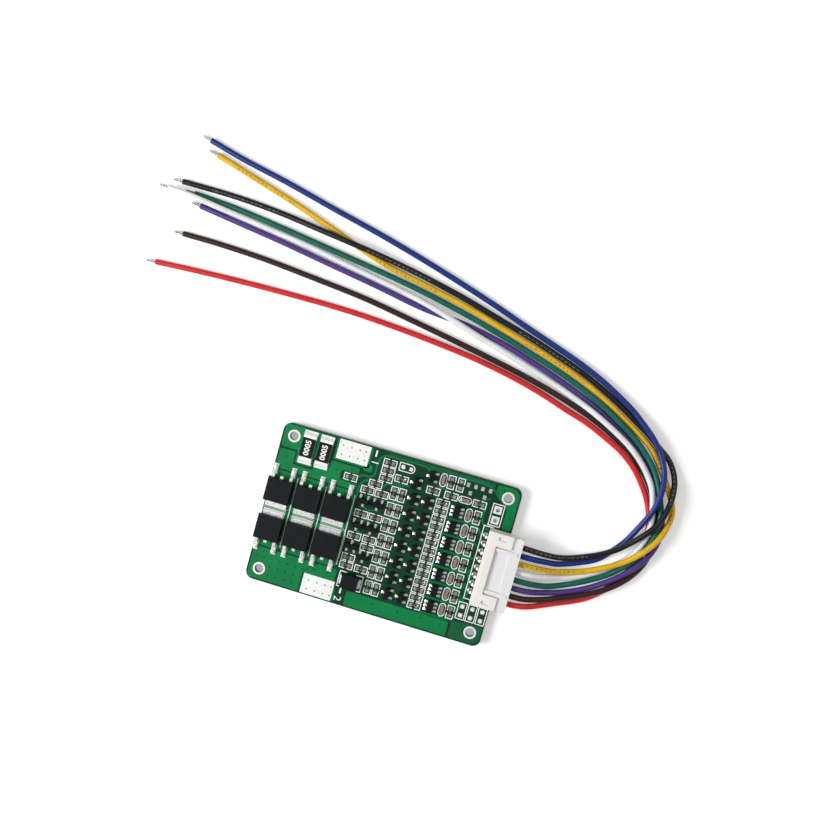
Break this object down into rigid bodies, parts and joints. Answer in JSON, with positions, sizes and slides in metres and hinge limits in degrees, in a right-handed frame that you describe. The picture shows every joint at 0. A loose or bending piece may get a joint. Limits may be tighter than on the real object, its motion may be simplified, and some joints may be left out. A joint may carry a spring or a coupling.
{
  "type": "battery management board",
  "caption": "Battery management board with power transistors, balance circuits and a side-entry balance connector, its plug fitted with loose coloured leads.",
  "frame": {"origin": "centre of the four mounting holes, on the underside of the board", "axes": "+X towards the balance connector along the board's long side, +Y across the board towards the sense resistors, +Z out of the component side"},
  "size_m": [0.1408, 0.1014, 0.0071],
  "materials": {
    "solder_mask": "gloss",
    "tin": "satin",
    "solder": "bright",
    "legend_ink": "matte",
    "black_epoxy": "matte",
    "resistor_black": "satin",
    "capacitor_tan": "satin",
    "cream_nylon": "satin",
    "white_nylon": "satin",
    "pin_metal": "satin",
    "strands": "bright",
    "insulation_black": "satin",
    "insulation_blue": "satin",
    "insulation_yellow": "satin",
    "insulation_white": "satin",
    "insulation_green": "satin",
    "insulation_purple": "satin",
    "insulation_brown": "satin",
    "insulation_red": "satin"
  },
  "bodies": {
    "root": {"circuit_board": "solder_mask", "plated_holes": "tin", "chip_pads": "solder", "transistor_pads": "solder", "power_pads": "solder", "legend": "legend_ink", "mosfet_body_1": "black_epoxy", "mosfet_body_2": "black_epoxy", "mosfet_body_3": "black_epoxy", "mosfet_body_4": "black_epoxy", "mosfet_body_5": "black_epoxy", "mosfet_body_6": "black_epoxy", "mosfet_leadframe_1": "tin", "mosfet_leadframe_2": "tin", "mosfet_leadframe_3": "tin", "mosfet_leadframe_4": "tin", "mosfet_leadframe_5": "tin", "mosfet_leadframe_6": "tin", "shunt_body_1": "resistor_black", "shunt_body_2": "resistor_black", "shunt_terminals_1": "tin", "shunt_terminals_2": "tin", "chip_resistor_bodies": "resistor_black", "chip_resistor_ends": "tin", "chip_capacitor_bodies": "capacitor_tan", "chip_capacitor_ends": "tin", "small_transistor_bodies": "black_epoxy", "small_transistor_leads": "tin", "balance_ic_1": "black_epoxy", "balance_ic_2": "black_epoxy", "balance_ic_3": "black_epoxy", "balance_ic_4": "black_epoxy", "balance_ic_5": "black_epoxy", "balance_ic_6": "black_epoxy", "balance_ic_7": "black_epoxy", "balance_ic_leads": "tin", "diode_body": "black_epoxy", "diode_tabs": "tin", "header_shell": "cream_nylon", "header_pin_1": "pin_metal", "header_pin_2": "pin_metal", "header_pin_3": "pin_metal", "header_pin_4": "pin_metal", "header_pin_5": "pin_metal", "header_pin_6": "pin_metal", "header_pin_7": "pin_metal", "header_pin_8": "pin_metal", "header_solder": "solder", "plug_housing": "white_nylon", "crimp_contacts": "pin_metal", "wire_black": "insulation_black", "wire_blue": "insulation_blue", "wire_yellow": "insulation_yellow", "wire_white": "insulation_white", "wire_green": "insulation_green", "wire_purple": "insulation_purple", "wire_brown": "insulation_brown", "wire_red": "insulation_red", "tinned_tips": "strands"}
  },
  "joints": []
}
